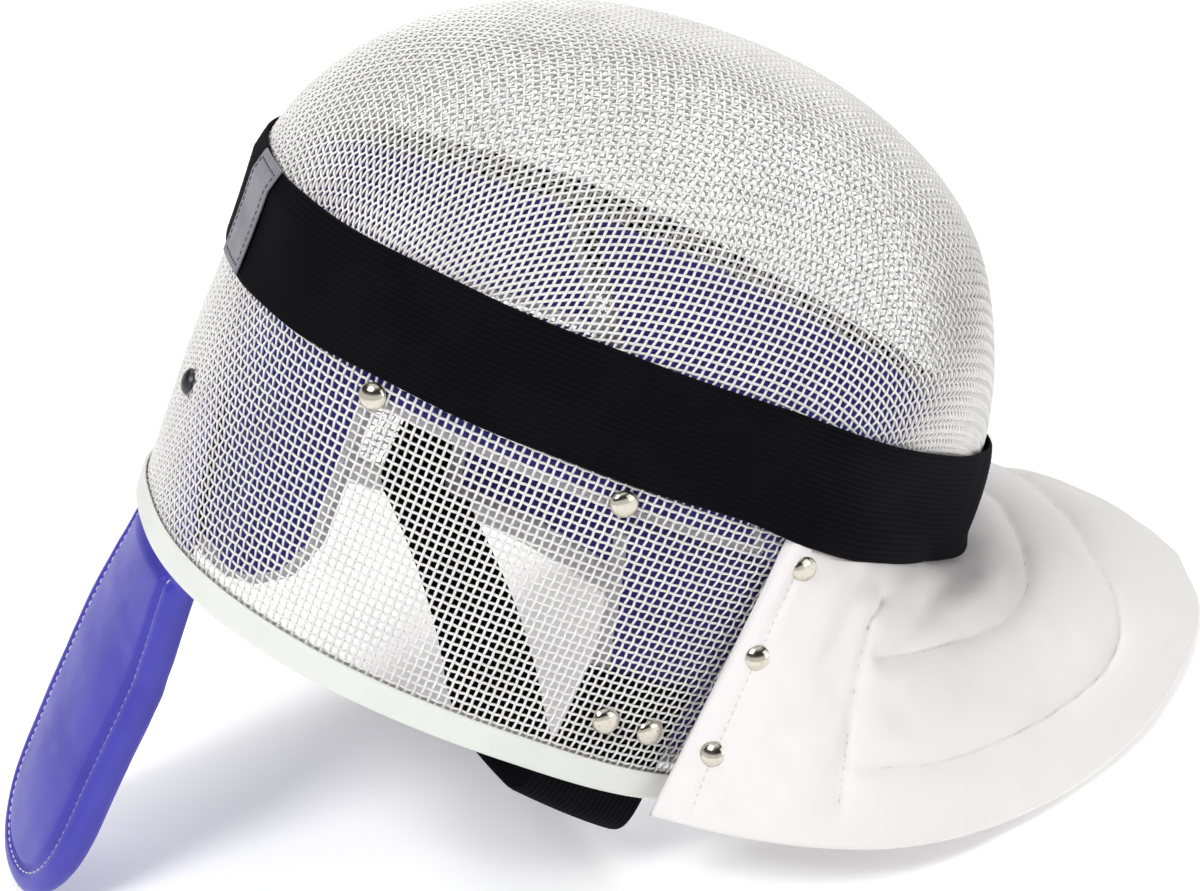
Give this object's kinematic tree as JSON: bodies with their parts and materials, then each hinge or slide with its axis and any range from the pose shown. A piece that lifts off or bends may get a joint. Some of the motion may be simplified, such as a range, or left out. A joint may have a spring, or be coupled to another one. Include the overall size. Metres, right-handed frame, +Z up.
{
  "type": "fencing mask",
  "caption": "Fencing mask with a woven wire face, padded white bib, blue back tongue, black elastic straps and a padded lining, resting on its bib and tongue.",
  "frame": {"origin": "centre of the bounding box's foot, on the surface that the bib's hem, the rim and the tongue's tip rest on", "axes": "+X from the crown and back tongue to the chin and bib, +Y to the wearer's side that is far in the picture, +Z up; the face mesh looks up and forward"},
  "size_m": [0.5004, 0.3262, 0.2995],
  "materials": {
    "wire_mesh": "satin off-white coating on woven wire",
    "trim": "smooth light edging",
    "elastic": "ribbed elastic webbing",
    "patch": "grey patch with a stitched border",
    "bib": "padded, smooth coated cloth with stitched seams",
    "tongue": "padded smooth cover with a stitched, rolled border",
    "lining": "brushed padding with a grey binding",
    "rivet": "polished nickel domes",
    "dark_rivet": "dark lacquered dome"
  },
  "bodies": {
    "root": {"mesh_shell": "wire_mesh", "rim_trim": "trim", "head_strap": "elastic", "strap_patch": "patch", "bib": "bib", "tongue": "tongue", "crown_pad": "lining", "chin_pad": "lining", "neck_strap": "elastic", "tongue_rivet": "dark_rivet", "crown_pad_rivet_near": "rivet", "chin_pad_rivet_near": "rivet", "bib_rivet_near_upper": "rivet", "bib_rivet_near_middle": "rivet", "bib_rivet_near_lower": "rivet", "neck_rivet_near_back": "rivet", "neck_rivet_near_front": "rivet", "crown_pad_rivet_far": "rivet", "chin_pad_rivet_far": "rivet", "bib_rivet_far_upper": "rivet", "bib_rivet_far_middle": "rivet", "bib_rivet_far_lower": "rivet", "neck_rivet_far_back": "rivet", "neck_rivet_far_front": "rivet"}
  },
  "joints": []
}
